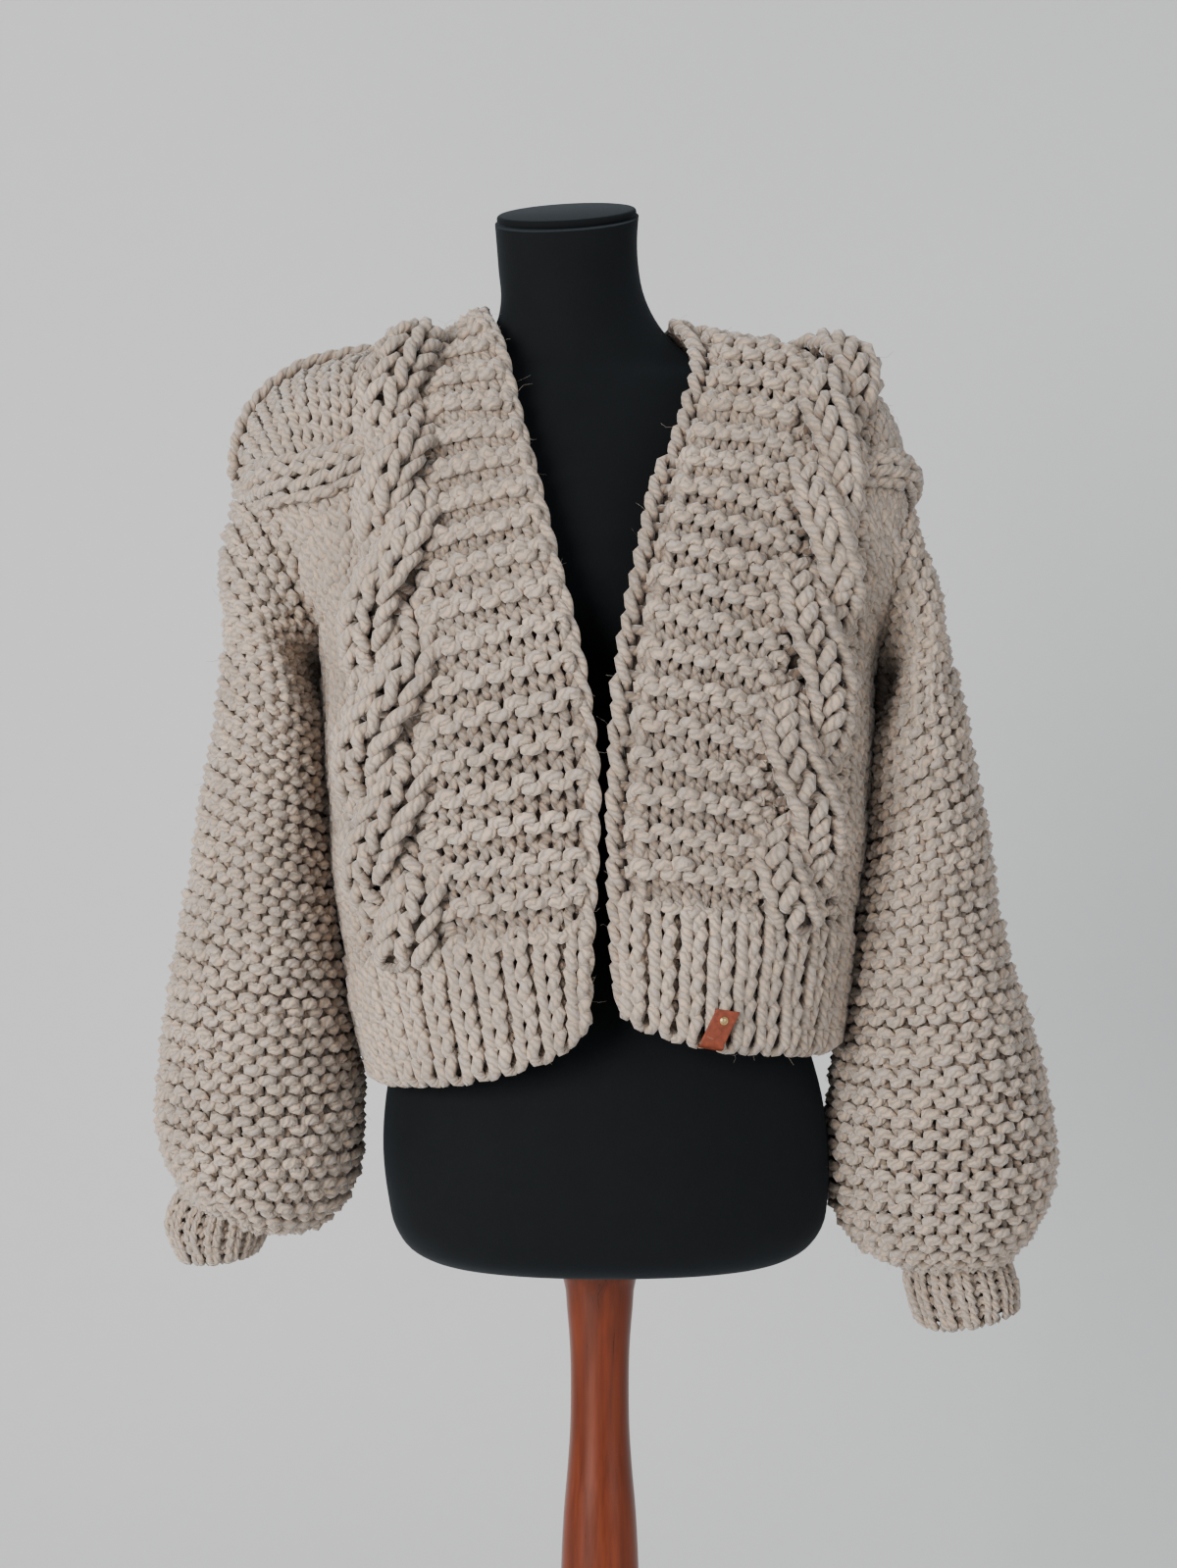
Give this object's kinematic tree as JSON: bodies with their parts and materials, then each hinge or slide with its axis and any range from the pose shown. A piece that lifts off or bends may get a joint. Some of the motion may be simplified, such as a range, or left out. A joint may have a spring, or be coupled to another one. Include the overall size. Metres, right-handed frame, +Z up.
{
  "type": "knit cardigan on a dress form",
  "caption": "Chunky open-front cable knit cardigan with ribbed hem and cuffs, shown on a limbless dress form with a turned wooden pole and a round base",
  "frame": {"origin": "centre of the stand base's flat underside, on the floor", "axes": "+Z up, the cardigan's open front faces -Y, the wearer's right side lies at -X"},
  "size_m": [0.6541, 0.36, 1.5854],
  "materials": {
    "wool": "thick plied wool yarn, oatmeal, with a soft halo",
    "wool_rib": "the same yarn in one by one rib",
    "jersey": "smooth matte black jersey",
    "varnished_wood": "turned, stained reddish brown, glossy varnish",
    "leather": "vegetable tanned, orange brown, plain",
    "brass": "dark antique brass"
  },
  "bodies": {
    "root": {"front_right": "wool", "front_left": "wool", "back": "wool", "hem_rib_front_right": "wool_rib", "hem_rib_front_left": "wool_rib", "hem_rib_back": "wool_rib", "sleeve_right": "wool", "sleeve_left": "wool", "cuff_right": "wool_rib", "cuff_left": "wool_rib", "label_tab": "leather", "label_rivet": "brass", "form_torso": "jersey", "neck_cap": "jersey", "stand_pole": "varnished_wood", "stand_base": "varnished_wood"}
  },
  "joints": []
}
